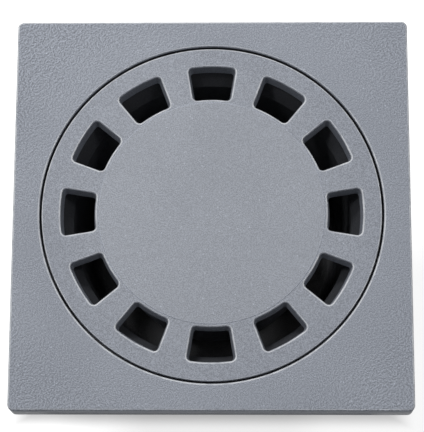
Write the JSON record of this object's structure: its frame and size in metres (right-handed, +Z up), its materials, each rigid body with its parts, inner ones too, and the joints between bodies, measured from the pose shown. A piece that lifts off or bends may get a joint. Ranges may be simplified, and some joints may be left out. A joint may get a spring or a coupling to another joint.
{
  "type": "gully trap",
  "caption": "Square grey plastic yard gully trap: flush round grate with radial openings over a bell water seal and a vertical pipe outlet.",
  "frame": {"origin": "centre of the outlet's lower end, on the axis of the bowl", "axes": "+Z up along the outlet's axis to the flange, +X and +Y square to the flange's sides"},
  "size_m": [0.2006, 0.2006, 0.15],
  "materials": {
    "body": "moulded, fine wrinkle grain on top",
    "grate": "moulded, fine satin grain",
    "bell": "moulded, smooth satin"
  },
  "bodies": {
    "root": {"body": "body", "grate": "grate", "bell": "bell"}
  },
  "joints": []
}
